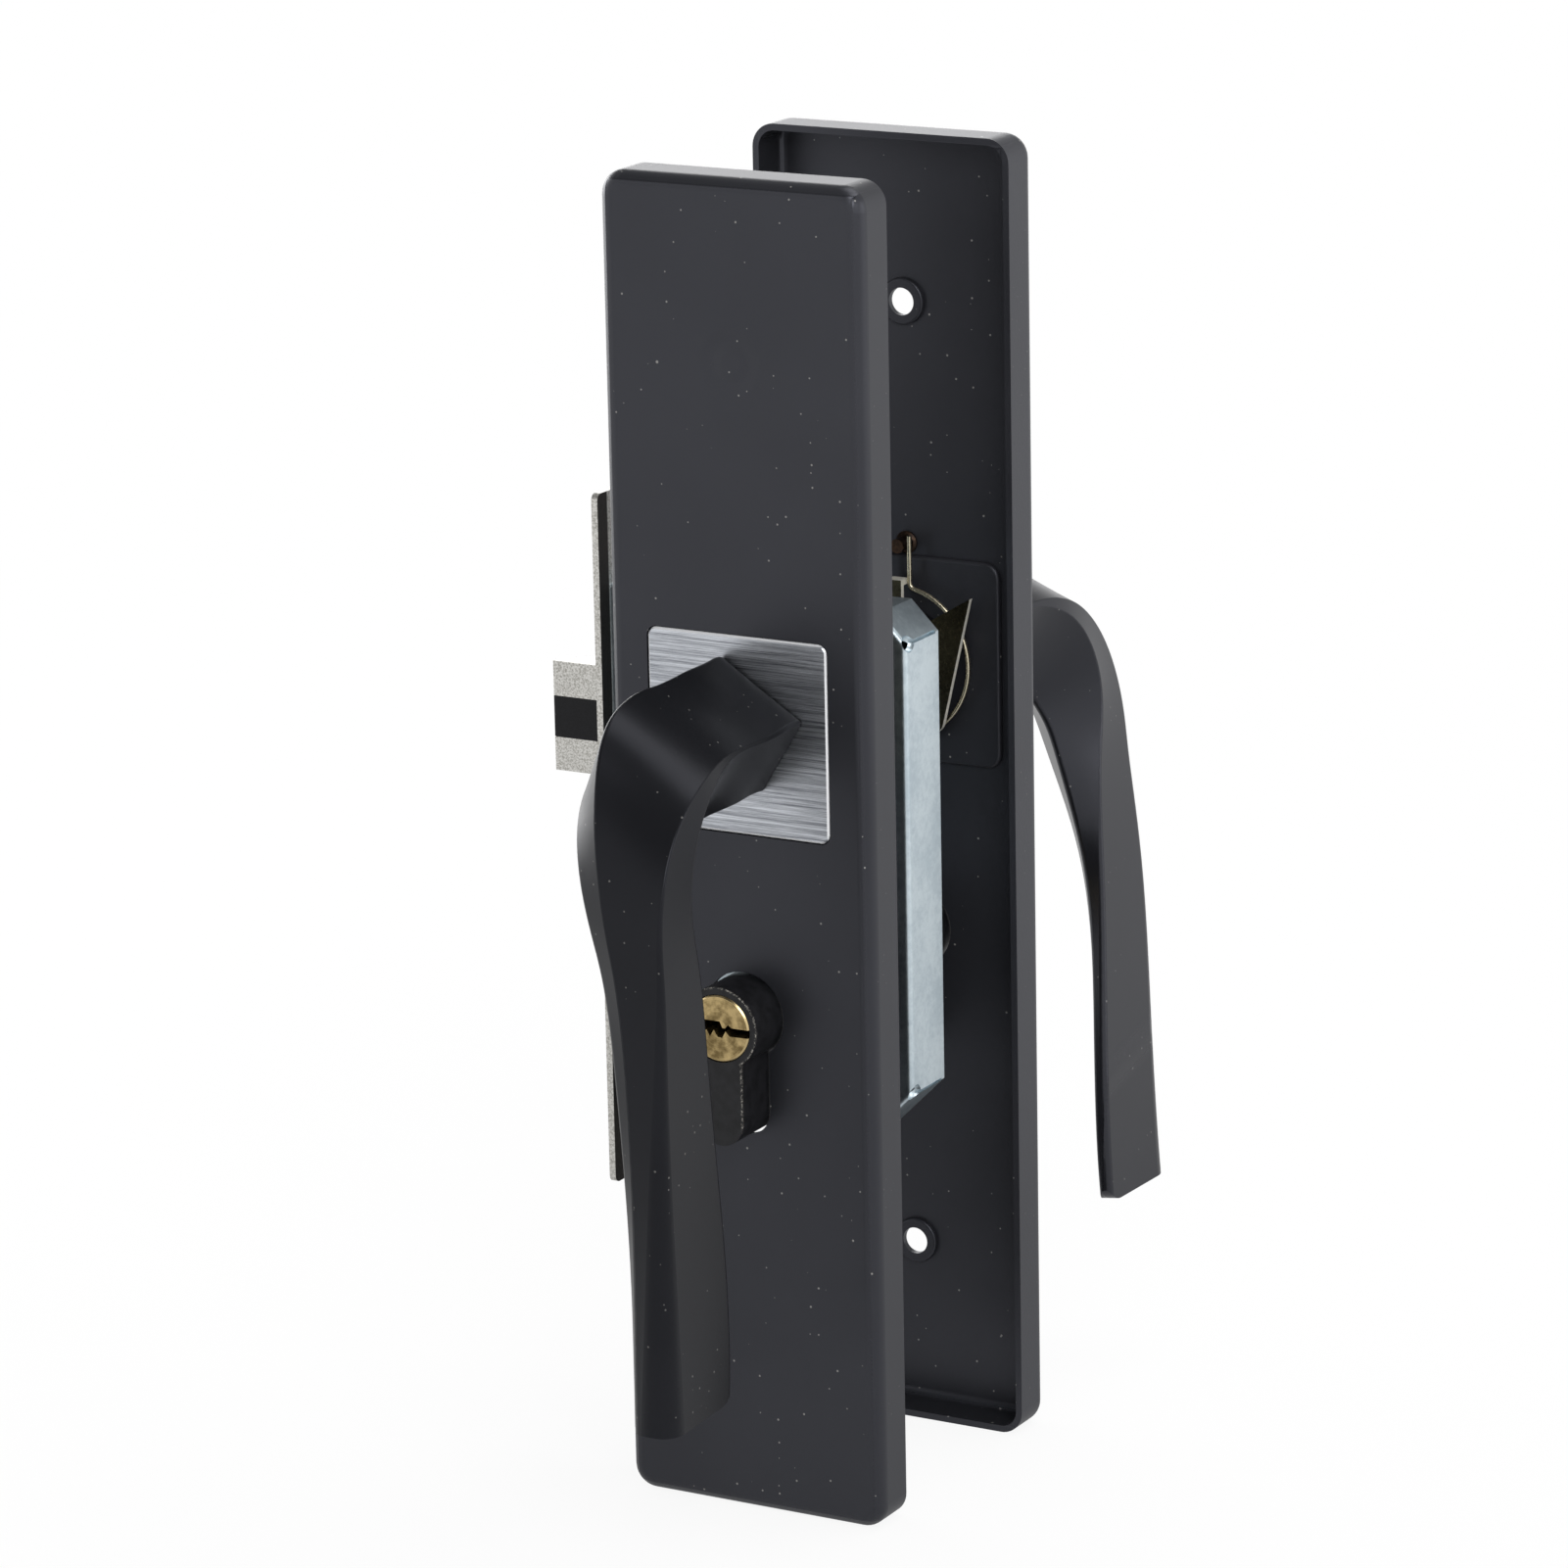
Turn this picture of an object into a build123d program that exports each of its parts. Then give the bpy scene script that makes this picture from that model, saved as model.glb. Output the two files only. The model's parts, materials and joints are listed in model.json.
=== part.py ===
"""Interior door lockset: lever handles on long plates, mortise lock case and profile cylinder.

Millimetres. X runs across the door away from the forend, Y through the door from the front,
Z up. The origin is on the lever axis in the middle of the door.
"""

import os
from math import acos, atan2, cos, degrees, pi, radians, sin, sqrt, tan

from build123d import *

# Fits shared by all pieces
FIT = 0.05
RUNNING_GAP = 0.3

# Door and long plates
DOOR_THICKNESS = 51.3
PLATE_WIDTH = 58.8
PLATE_HEIGHT = 275.0
PLATE_DEPTH = 10.8
PLATE_WALL = 1.4
PLATE_TOP = 111.3
PLATE_CORNER = 5.0
PLATE_EDGE_ROUND = 3.0
DOOR_HALF = DOOR_THICKNESS / 2
FACE = DOOR_HALF + PLATE_DEPTH
FLOOR = FACE - PLATE_WALL
PLATE_MIDDLE = PLATE_TOP - PLATE_HEIGHT / 2

# Fixing holes and posts of the plates
FIXING_TOP = 74.9
FIXING_BOTTOM = -127.4
FIXING_HOLE_RADIUS = 2.85
DIMPLE_RADIUS = 4.9
DIMPLE_DEPTH = 1.0
POST_RADIUS = 4.0
POST_LENGTH = 20.0
POST_THREAD_RADIUS = 2.1
POST_THREAD_DEPTH = 16.0

# Brushed inlay in its pressed recess
INLAY_SIZE = 40.5
INLAY_THICKNESS = 1.2
INLAY_CORNER = 2.0
INLAY_GAP = 0.25
INLAY_PROUD = 0.15
INLAY_CHAMFER = 0.35
RECESS_DEPTH = INLAY_THICKNESS - INLAY_PROUD
LAND = FLOOR - RECESS_DEPTH
LAND_ROUND = 0.9

# Lever hub, bush and return mechanism, stacked from the land towards the door
HUB_RADIUS = 8.2
BUSH_WALL = 0.75
BUSH_RADIUS = HUB_RADIUS + FIT + BUSH_WALL
BUSH_FLANGE_RADIUS = 11.0
BUSH_FLANGE = 0.8
SPRING_SETBACK = 2.5
SPRING_RADIUS = 15.8
SPRING_WIRE = 1.0
SPRING_LEG_X = 2.4
SPRING_LEG_TOP = 26.5
SPRING_LEG_BEND = 1.5
CAM_SETBACK = 3.8
CAM_THICKNESS = 1.2
CAM_EAR_X = 17.6
CAM_EAR_Z = 15.2
CAM_VALLEY_X = 6.5
CAM_VALLEY_Z = 8.6
CAM_SIDE_X = 10.8
CAM_SIDE_Z = -13.0
CAM_BOTTOM_Z = -17.0
CAM_BOTTOM_ROUND = 6.0
TENON_RADIUS = 6.6
TENON_FLAT = 5.2
TENON_TAIL = 0.7
CIRCLIP_THICKNESS = 1.0
CIRCLIP_GROOVE = 0.8
CIRCLIP_RADIUS = 8.6
CIRCLIP_MOUTH = 6.0
STUD_RADIUS = 1.5
STUD_FOOT_RADIUS = 2.4
STUD_FOOT = 0.9
LAND_SIZE = INLAY_SIZE + 2 * (INLAY_GAP + PLATE_WALL)
STUD_Z = LAND_SIZE / 2 + STUD_FOOT_RADIUS + FIT
SPRING_Y = LAND - SPRING_SETBACK
CAM_FACE = LAND - CAM_SETBACK
CAM_BACK = CAM_FACE - CAM_THICKNESS
TENON_END = CAM_BACK - CIRCLIP_THICKNESS - TENON_TAIL

# Lever form: a neck that turns down round the knuckle axis into a wedge-shaped grip
NECK_WIDE = 21.2
NECK_TALL = 18.3
NECK_TILT = -32.0
NECK_CENTRE_X = 1.05
NECK_CENTRE_Z = 2.1
NECK_EDGE = 1.2
KNUCKLE_OUT = 25.5
KNUCKLE_DROP = 28.0
GRIP_UPPER = 27.0
GRIP_MIDDLE = 62.0
GRIP_LENGTH = 99.6
TIP_ROUND = 4.5
TIP_OUTER_ROUND = 4.5
LEVER_STEPS = 18
REAR_LEVER_HANG = -7.6
NECK_BASE = FACE + INLAY_PROUD + RUNNING_GAP
KNUCKLE_Y = FACE + KNUCKLE_OUT
NECK_LENGTH = KNUCKLE_Y - NECK_BASE
BEND_LENGTH = pi / 2 * KNUCKLE_DROP

# Lever corners as (x, distance from the knuckle axis): outer left, fold, inner edge, inner left, left
SHOULDER_SECTION = ((-3.6, 45.4), (15.9, 33.9), (16.4, 31.2), (5.5, 16.0), (-11.2, 29.8))
BEND_SECTION = ((-1.0, 38.6), (16.2, 35.0), (17.3, 29.0), (6.0, 15.2), (-9.0, 31.0))
KNUCKLE_SECTION = ((4.2, 32.8), (16.3, 34.2), (16.7, 21.3), (8.6, 14.0), (-2.6, 29.0))
UPPER_SECTION = ((7.4, 33.4), (16.4, 35.0), (15.9, 15.8), (11.5, 15.3), (2.4, 30.6))
MIDDLE_SECTION = ((6.8, 31.4), (15.4, 34.9), (14.8, 9.3), (11.9, 9.9), (3.2, 27.5))
TIP_SECTION = ((5.5, 30.0), (14.6, 34.4), (13.1, 5.2), (10.4, 5.8), (2.2, 25.0))
NECK_ROUNDS = (0.8, 0.3, 0.3, 1.0, 1.0)
KNUCKLE_ROUNDS = (0.8, 0.8, 0.8, 1.2, 1.8)
TIP_ROUNDS = (3.0, 5.0, 1.4, 0.8, 3.0)

# Square spindle and the grub screws that hold the levers on it
SPINDLE_SIZE = 8.0
SPINDLE_REACH = 20.0
SPINDLE_CHAMFER = 0.6
GRUB_RADIUS = 2.0
GRUB_OUT = 11.0
GRUB_LENGTH = 3.4
SPINDLE_END = FACE + SPINDLE_REACH

# Profile cylinder
CYLINDER_DROP = 58.0
CYLINDER_LENGTH = 93.4
PROFILE_RADIUS = 8.5
PROFILE_HEIGHT = 33.0
PROFILE_WIDTH = 10.0
PLATE_PROFILE_GAP = 0.5
CASE_PROFILE_GAP = 0.3
PLUG_RADIUS = 7.0
PLUG_PROUD = 0.2
PLUG_CHAMFER = 0.4
KEYWAY_DEPTH = 28.0
JOURNAL_RADIUS = 5.0
CAM_GAP = 10.4
KEY_CAM_WIDTH = 7.8
KEY_CAM_RADIUS = 8.3
KEY_LUG_REACH = 14.2
KEY_LUG_NOSE = 2.0
KEY_LUG_REST = 45.0
BRIDGE_DROP = 16.6
CLIP_THICKNESS = 0.8
CLIP_GROOVE = 0.6
CLIP_RADIUS = 7.4
CLIP_SETBACK = 0.15
CYLINDER_SCREW_DROP = 20.4
CYLINDER_SCREW_RADIUS = 2.45
CYLINDER_SCREW_HEAD = 3.7
CYLINDER_SCREW_END = 4.0
CYLINDER_END = CYLINDER_LENGTH / 2
CYLINDER_Z = -CYLINDER_DROP
PROFILE_BOTTOM_RADIUS = PROFILE_WIDTH / 2

# Forend
FOREND_FACE = -48.0
FOREND_THICKNESS = 1.5
FOREND_WIDTH = 22.0
FOREND_TOP = 39.4
FOREND_LENGTH = 147.2
FOREND_CORNER = 1.5
FOREND_SCREW_INSET = 8.0
FOREND_SCREW_RADIUS = 2.3
FOREND_SCREW_SINK = 3.2
FOREND_BACK = FOREND_FACE + FOREND_THICKNESS
FOREND_MIDDLE = FOREND_TOP - FOREND_LENGTH / 2

# Lock case
CASE_HALF = 7.0
CASE_WALL = 1.2
CASE_TOP = 20.0
CASE_BOTTOM = -91.5
CASE_BACK = 22.0
CASE_TOP_CHAMFER = 6.0
CASE_BOTTOM_CHAMFER = 11.0
CASE_FOLD = 1.1
RELIEF_RADIUS = 0.75
RELIEF_SLIT = 0.7
CASE_POST_RADIUS = 2.5
POST_BACK_INSET = 6.0
POST_FRONT_INSET = 7.5
POST_TOP_INSET = 8.5
POST_BACK_RISE = 17.5
POST_FRONT_RISE = 5.0
CASE_SCREW_RADIUS = 1.3
CASE_SCREW_HEAD = 2.3
CASE_SCREW_HEAD_HEIGHT = 1.1
CASE_SCREW_LENGTH = 5.0
RIVET_RADIUS = 2.0
RIVET_TOP_INSET = 7.0
RIVET_BOTTOM_INSET = 5.0
RIVET_HEAD = 3.0
RIVET_HEAD_HEIGHT = 1.0
CASE_INSIDE = CASE_HALF - CASE_WALL
RIVETS_Z = (CASE_TOP - RIVET_TOP_INSET, CASE_BOTTOM + RIVET_BOTTOM_INSET)

# Follower and the latch that it draws
LEVER_TURN = 46.0
ARM_REACH = 15.2
ARM_NOSE = 2.5
ARM_HALF = 2.0
ARM_NECK = 2.6
FOLLOWER_RADIUS = 10.8
FOLLOWER_HALF = CASE_INSIDE - RUNNING_GAP
FOLLOWER_JOURNAL = 9.0
FOLLOWER_FIT = 0.1
LATCH_TRAVEL = 2 * ARM_REACH * sin(radians(LEVER_TURN / 2))
LATCH_END = -61.8
LATCH_TOP = 1.9
LATCH_HEIGHT = 23.3
LATCH_HALF = 5.5
LATCH_NOSE = 2.0
LATCH_BEVEL_LENGTH = 10.8
LATCH_SHANK_END = -34.0
LATCH_EDGE_ROUND = 0.4
INSERT_TOP = -5.6
INSERT_HEIGHT = 8.6
INSERT_GAP = 0.1
INSERT_END = -48.6
TAIL_INNER = 2.6
TAIL_SHEET = 1.6
TAIL_LOW = 11.6
TAIL_HIGH = 17.4
TAIL_SEAT = -5.0
TAIL_FRONT = -43.5
LATCH_RIVET_X = -39.0
LATCH_RIVET_Z = -1.2
LATCH_RIVET_RADIUS = 1.5
LATCH_SPRING_Z = -12.0
LATCH_SPRING_RADIUS = 2.5
LATCH_SPRING_WIRE = 0.8
LATCH_SPRING_TURNS = 5
LATCH_SPRING_BORE = 3.2
LATCH_SPRING_SEAT = -43.0
SPRING_TAB_X = -13.5
SPRING_TAB_HALF = 4.0
LATCH_MIDDLE = LATCH_TOP - LATCH_HEIGHT / 2
TAIL_FACE = -ARM_REACH * sin(radians(LEVER_TURN / 2)) + ARM_NOSE + RUNNING_GAP

# Deadbolt, drawn out by the cylinder cam
BOLT_TOP = -46.0
BOLT_HEIGHT = 24.0
BOLT_HALF = 5.5
BOLT_END = -20.0
BOLT_EDGE_ROUND = 0.6
BOLT_TAIL_HALF = 1.6
BOLT_TAIL_TOP = -31.0
BOLT_TAIL_LOW = -47.5
BOLT_TAIL_BACK = 17.0
BOLT_TAIL_FRONT = -24.5
BOLT_TONGUE_FRONT = -30.0
BOLT_TONGUE_BACK = -17.0
BOLT_TONGUE_LOW = -62.0
NOTCH_GAP = 0.75
NOTCH_FLARE = 1.0
NOTCH_TOP_GAP = 0.6
BOLT_RIVETS_Z = (-51.0, -58.5)
BOLT_RIVET_X = -25.0
BOLT_RIVET_RADIUS = 1.5
GUIDE_X = -15.0
GUIDE_Z = -36.0
GUIDE_RADIUS = 2.0
BOLT_TRAVEL = 2 * KEY_LUG_REACH * sin(radians(KEY_LUG_REST))
BOLT_MIDDLE = BOLT_TOP - BOLT_HEIGHT / 2


def along_y(outline, start, end):
    """Extrude an outline drawn in X and Z from y = start to y = end."""
    placed = Plane.XZ.offset(-start) * outline
    return extrude(placed, amount=end - start, dir=(0, 1, 0))


def along_x(outline, start, end):
    """Extrude an outline drawn in Y and Z from x = start to x = end."""
    placed = Plane.YZ.offset(start) * outline
    return extrude(placed, amount=end - start, dir=(1, 0, 0))


def along_z(outline, start, end):
    """Extrude an outline drawn in X and Y from z = start to z = end."""
    placed = Plane.XY.offset(start) * outline
    return extrude(placed, amount=end - start, dir=(0, 0, 1))


def front_slab(outline, inner, outer):
    """Extrude an outline on the front side between two distances from the door's middle."""
    return along_y(outline, -outer, -inner)


def polygon(*points):
    """Closed face through points given in order."""
    return make_face(Polyline(*points, close=True))


def at_rear(piece):
    """The same piece on the rear side of the door."""
    return mirror(piece, about=Plane.XZ)


def profile_outline(gap):
    """Profile cylinder outline around the plug axis, grown by a gap."""
    low = PROFILE_HEIGHT - PROFILE_RADIUS - PROFILE_BOTTOM_RADIUS
    stem = Pos(0, -low / 2) * Rectangle(PROFILE_WIDTH + 2 * gap, low)
    foot = Pos(0, -low) * Circle(PROFILE_BOTTOM_RADIUS + gap)
    return Pos(0, CYLINDER_Z) * (Circle(PROFILE_RADIUS + gap) + stem + foot)


def long_plate():
    """Front plate tray with the recess for the inlay and the holes for bush and cylinder."""
    outline = Pos(0, PLATE_MIDDLE) * RectangleRounded(PLATE_WIDTH, PLATE_HEIGHT, PLATE_CORNER)
    plate = front_slab(outline, DOOR_HALF, FACE)
    plate = fillet(plate.faces().sort_by(Axis.Y)[0].edges(), PLATE_EDGE_ROUND)
    inside = RectangleRounded(
        PLATE_WIDTH - 2 * PLATE_WALL, PLATE_HEIGHT - 2 * PLATE_WALL, PLATE_CORNER - PLATE_WALL
    )
    hollow = front_slab(Pos(0, PLATE_MIDDLE) * inside, DOOR_HALF - PLATE_WALL, FLOOR)
    hollow = fillet(hollow.faces().sort_by(Axis.Y)[0].edges(), PLATE_EDGE_ROUND - PLATE_WALL)
    plate -= hollow
    recess_size = INLAY_SIZE + 2 * INLAY_GAP
    recess_corner = INLAY_CORNER + INLAY_GAP
    land = front_slab(
        RectangleRounded(LAND_SIZE, LAND_SIZE, recess_corner + PLATE_WALL), LAND, FLOOR
    )
    plate += fillet(land.faces().sort_by(Axis.Y)[-1].edges(), LAND_ROUND)
    recess = RectangleRounded(recess_size, recess_size, recess_corner)
    plate -= front_slab(recess, FACE - RECESS_DEPTH, FACE + PLATE_WALL)
    plate -= front_slab(Circle(BUSH_RADIUS + FIT), DOOR_HALF, FACE)
    plate -= front_slab(profile_outline(PLATE_PROFILE_GAP), DOOR_HALF, FACE + PLATE_WALL)
    return plate


def rear_plate():
    """Rear plate: the tray with two pressed screw dimples."""
    plate = long_plate()
    for height in (FIXING_TOP, FIXING_BOTTOM):
        boss = front_slab(Pos(0, height) * Circle(DIMPLE_RADIUS), FLOOR - DIMPLE_DEPTH, FLOOR)
        plate += fillet(boss.faces().sort_by(Axis.Y)[-1].edges(), DIMPLE_DEPTH / 2)
        sink = Pos(0, height) * Circle(DIMPLE_RADIUS - PLATE_WALL / 2)
        plate -= front_slab(sink, FACE - DIMPLE_DEPTH, FACE + PLATE_WALL)
        plate -= front_slab(Pos(0, height) * Circle(FIXING_HOLE_RADIUS), DOOR_HALF, FACE)
    return at_rear(plate)


def fixing_posts():
    """Two threaded posts on the front plate that take the screws from the rear."""
    posts = []
    for height in (FIXING_TOP, FIXING_BOTTOM):
        post = front_slab(Pos(0, height) * Circle(POST_RADIUS), FLOOR - POST_LENGTH, FLOOR)
        thread = Pos(0, height) * Circle(POST_THREAD_RADIUS)
        inner_end = FLOOR - POST_LENGTH
        post -= front_slab(thread, inner_end, inner_end + POST_THREAD_DEPTH)
        posts.append(post)
    return posts


def inlay():
    """Brushed square with a bright chamfer."""
    square = RectangleRounded(INLAY_SIZE, INLAY_SIZE, INLAY_CORNER)
    sheet = front_slab(square, FACE - RECESS_DEPTH, FACE + INLAY_PROUD)
    sheet = chamfer(sheet.faces().sort_by(Axis.Y)[0].edges(), INLAY_CHAMFER)
    return sheet - front_slab(Circle(BUSH_RADIUS + FIT), FACE - RECESS_DEPTH, FACE + PLATE_WALL)


def lever_bush():
    """Flanged bearing bush, its flange on the inside of the plate."""
    bush = front_slab(Circle(BUSH_RADIUS), LAND, FACE + INLAY_PROUD)
    bush += front_slab(Circle(BUSH_FLANGE_RADIUS), LAND - BUSH_FLANGE, LAND)
    return bush - front_slab(Circle(HUB_RADIUS + FIT), DOOR_HALF, FACE + PLATE_WALL)


def tenon_outline(gap):
    """Double-D tenon that drives the cam plate, grown by a gap."""
    flats = Rectangle(2 * (TENON_RADIUS + gap), 2 * (TENON_FLAT + gap))
    return Circle(TENON_RADIUS + gap) & flats


def cam_plate():
    """Two-eared return plate with a tongue bent in between the spring legs."""
    tongue_half = SPRING_LEG_X - SPRING_WIRE / 2 - 4 * FIT
    tongue_top = SPRING_RADIUS + SPRING_WIRE + 0.8
    ears = polygon(
        (CAM_VALLEY_X, CAM_VALLEY_Z), (CAM_EAR_X, CAM_EAR_Z), (CAM_SIDE_X, CAM_SIDE_Z),
        (CAM_SIDE_X / 2, CAM_BOTTOM_Z), (-CAM_SIDE_X / 2, CAM_BOTTOM_Z), (-CAM_SIDE_X, CAM_SIDE_Z),
        (-CAM_EAR_X, CAM_EAR_Z), (-CAM_VALLEY_X, CAM_VALLEY_Z),
    )
    tongue = Pos(0, tongue_top / 2) * Rectangle(2 * tongue_half, tongue_top)
    plate = front_slab(ears + tongue - tenon_outline(FIT), CAM_BACK, CAM_FACE)
    corners = plate.edges().filter_by(Axis.Y).sort_by(Axis.Z)
    plate = fillet(corners[:4], CAM_BOTTOM_ROUND / 2)
    tab_low = tongue_top - CAM_THICKNESS
    tab = Pos(0, (tab_low + tongue_top) / 2) * Rectangle(2 * tongue_half, CAM_THICKNESS)
    return plate + front_slab(tab, CAM_BACK, SPRING_Y + SPRING_WIRE / 2)


def circlip():
    """Open clip in the groove of the hub's tenon."""
    ring = Circle(CIRCLIP_RADIUS) - Circle(TENON_RADIUS - CIRCLIP_GROOVE + FIT)
    mouth = Pos(0, -CIRCLIP_RADIUS / 2) * Rectangle(CIRCLIP_MOUTH, CIRCLIP_RADIUS)
    return front_slab(ring - mouth, CAM_BACK - CIRCLIP_THICKNESS, CAM_BACK)


def return_spring():
    """Open wire ring round the hub with two legs up beside the stud."""
    bend_x = SPRING_LEG_X + SPRING_LEG_BEND
    bend_radius = SPRING_RADIUS + SPRING_LEG_BEND
    bend_z = sqrt(bend_radius**2 - bend_x**2)
    touch_x = bend_x * SPRING_RADIUS / bend_radius
    touch_z = bend_z * SPRING_RADIUS / bend_radius
    turn = atan2(bend_x, bend_z) / 2 - pi / 4
    middle_x = bend_x + SPRING_LEG_BEND * sin(turn - pi / 4)
    middle_z = bend_z - SPRING_LEG_BEND * cos(turn - pi / 4)
    right_leg = Line((SPRING_LEG_X, SPRING_LEG_TOP), (SPRING_LEG_X, bend_z))
    right_bend = ThreePointArc((SPRING_LEG_X, bend_z), (middle_x, middle_z), (touch_x, touch_z))
    ring = ThreePointArc((touch_x, touch_z), (0, -SPRING_RADIUS), (-touch_x, touch_z))
    left_bend = ThreePointArc((-touch_x, touch_z), (-middle_x, middle_z), (-SPRING_LEG_X, bend_z))
    left_leg = Line((-SPRING_LEG_X, bend_z), (-SPRING_LEG_X, SPRING_LEG_TOP))
    path = Plane.XZ.offset(SPRING_Y) * Wire([right_leg, right_bend, ring, left_bend, left_leg])
    section = Plane(path @ 0, z_dir=path % 0) * Circle(SPRING_WIRE / 2)
    return sweep(section, path=path)


def spring_post():
    """Stud riveted to the plate between the spring legs."""
    foot = front_slab(Pos(0, STUD_Z) * Circle(STUD_FOOT_RADIUS), FLOOR - STUD_FOOT, FLOOR)
    foot = chamfer(foot.faces().sort_by(Axis.Y)[-1].edges(), STUD_FOOT / 2)
    return foot + front_slab(Pos(0, STUD_Z) * Circle(STUD_RADIUS), CAM_FACE + RUNNING_GAP, FLOOR)


def rounded_section(corners, rounds):
    """Closed face with straight sides and a corner round of its own at each corner."""
    points = [Vector(*corner) for corner in corners]
    count = len(points)
    starts, middles, ends = [], [], []
    for index, radius in enumerate(rounds):
        corner = points[index]
        before = (points[index - 1] - corner).normalized()
        after = (points[(index + 1) % count] - corner).normalized()
        half = acos(before.dot(after)) / 2
        starts.append(corner + before * (radius / tan(half)))
        ends.append(corner + after * (radius / tan(half)))
        bisector = (before + after).normalized()
        middles.append(corner + bisector * (radius / sin(half) - radius))
    edges = []
    for index in range(count):
        edges.append(ThreePointArc(starts[index], middles[index], ends[index]))
        edges.append(Line(ends[index], starts[(index + 1) % count]))
    return Face(Wire(edges))


def neck_section():
    """Corners of the tilted neck, measured from the knuckle axis, with the fold corner split."""
    tilt = radians(NECK_TILT)

    def corner(wide, tall):
        across = NECK_CENTRE_X + wide * cos(tilt) - tall * sin(tilt)
        up = NECK_CENTRE_Z + wide * sin(tilt) + tall * cos(tilt)
        return across, up + KNUCKLE_DROP

    wide, tall = NECK_WIDE / 2, NECK_TALL / 2
    return (
        corner(-wide, tall), corner(wide - NECK_EDGE / 2, tall), corner(wide, tall - NECK_EDGE / 2),
        corner(wide, -tall), corner(-wide, -tall),
    )


def bend_share(way):
    """How far round the bend a distance along the lever has come, from 0 to 1."""
    return min(max((way - NECK_LENGTH) / BEND_LENGTH, 0), 1)


def lever_plane(way):
    """Plane across the lever at a distance along it from the neck's base."""
    turn = bend_share(way) * pi / 2
    out = min(NECK_BASE + way, KNUCKLE_Y)
    drop = max(way - NECK_LENGTH - BEND_LENGTH, 0)
    return Plane((0, -out, -KNUCKLE_DROP - drop), x_dir=(1, 0, 0), z_dir=(0, -cos(turn), -sin(turn)))


def lever_form():
    """Lever lofted along five corner rails: neck, bend round the knuckle axis and wedge grip."""
    knuckle = NECK_LENGTH + BEND_LENGTH
    whole = knuckle + GRIP_LENGTH
    stations = {
        0: neck_section(),
        NECK_LENGTH / 2: neck_section(),
        NECK_LENGTH: neck_section(),
        NECK_LENGTH + BEND_LENGTH / 4: SHOULDER_SECTION,
        NECK_LENGTH + BEND_LENGTH / 2: BEND_SECTION,
        knuckle: KNUCKLE_SECTION,
        knuckle + GRIP_UPPER: UPPER_SECTION,
        knuckle + GRIP_MIDDLE: MIDDLE_SECTION,
        whole: TIP_SECTION,
    }
    shares = [way / whole for way in stations]
    rails = []
    for index in range(len(TIP_SECTION)):
        points = [Vector(*corners[index], way) for way, corners in stations.items()]
        rails.append(Edge.make_spline(points, parameters=shares))
    sections = []
    for step in range(LEVER_STEPS + 1):
        share = step / LEVER_STEPS
        corners = [((rail @ share).X, (rail @ share).Y) for rail in rails]
        sections.append(lever_plane(share * whole) * rounded_section(corners, lever_rounds(share * whole)))
    casting = loft(sections)
    casting -= tip_corner(TIP_SECTION[2], TIP_ROUND, 1)
    return casting - tip_corner(TIP_SECTION[1], TIP_OUTER_ROUND, -1)


def lever_rounds(way):
    """Corner rounds at a distance along the lever, growing round the bend and down the grip."""
    turn = bend_share(way)
    down = max(way - NECK_LENGTH - BEND_LENGTH, 0) / GRIP_LENGTH
    rounds = []
    for neck, knuckle, tip in zip(NECK_ROUNDS, KNUCKLE_ROUNDS, TIP_ROUNDS):
        rounds.append(neck + (knuckle - neck) * turn + (tip - knuckle) * down)
    return rounds


def tip_corner(edge, radius, side):
    """What rounding the grip's end takes away at one edge, side 1 towards the door."""
    centre_y = -KNUCKLE_Y - edge[1] - side * radius
    centre_z = -KNUCKLE_DROP - GRIP_LENGTH + radius
    block = Pos(centre_y + side * radius, centre_z - radius) * Rectangle(2 * radius, 2 * radius)
    block -= Pos(centre_y, centre_z) * Circle(radius)
    return along_x(block, -edge[0], 2 * edge[0])


def lever(hang):
    """Lever casting with its hub, tenon and spindle socket, the grip turned by its hang."""
    casting = Rot(0, hang, 0) * lever_form()
    casting += front_slab(Circle(HUB_RADIUS), CAM_FACE, NECK_BASE)
    tenon = front_slab(tenon_outline(0), TENON_END, CAM_FACE)
    groove = Circle(TENON_RADIUS + FIT) - Circle(TENON_RADIUS - CIRCLIP_GROOVE)
    tenon -= front_slab(groove, CAM_BACK - CIRCLIP_THICKNESS, CAM_BACK)
    casting += tenon
    socket = Rectangle(SPINDLE_SIZE + 2 * FIT, SPINDLE_SIZE + 2 * FIT)
    casting -= front_slab(socket, DOOR_HALF, SPINDLE_END + FIT)
    hole = Pos(0, -FACE - GRUB_OUT) * Circle(GRUB_RADIUS + FIT)
    return casting - along_z(hole, -HUB_RADIUS - NECK_TALL, 0)


def grub_screw():
    """Grub screw under the neck, its end on the spindle."""
    top = -SPINDLE_SIZE / 2 - FIT
    return along_z(Pos(0, -FACE - GRUB_OUT) * Circle(GRUB_RADIUS), top - GRUB_LENGTH, top)


def spindle():
    """Square bar through both levers and the follower."""
    bar = along_y(Rectangle(SPINDLE_SIZE, SPINDLE_SIZE), -SPINDLE_END, SPINDLE_END)
    ends = bar.faces().filter_by(Axis.Y).edges()
    return chamfer(ends, SPINDLE_CHAMFER)


def case_outline():
    """Side view of the lock case with its two rear corners cut off."""
    return polygon(
        (FOREND_BACK, CASE_TOP), (CASE_BACK - CASE_TOP_CHAMFER, CASE_TOP),
        (CASE_BACK, CASE_TOP - CASE_TOP_CHAMFER), (CASE_BACK, CASE_BOTTOM + CASE_BOTTOM_CHAMFER),
        (CASE_BACK - CASE_BOTTOM_CHAMFER, CASE_BOTTOM), (FOREND_BACK, CASE_BOTTOM),
    )


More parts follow.
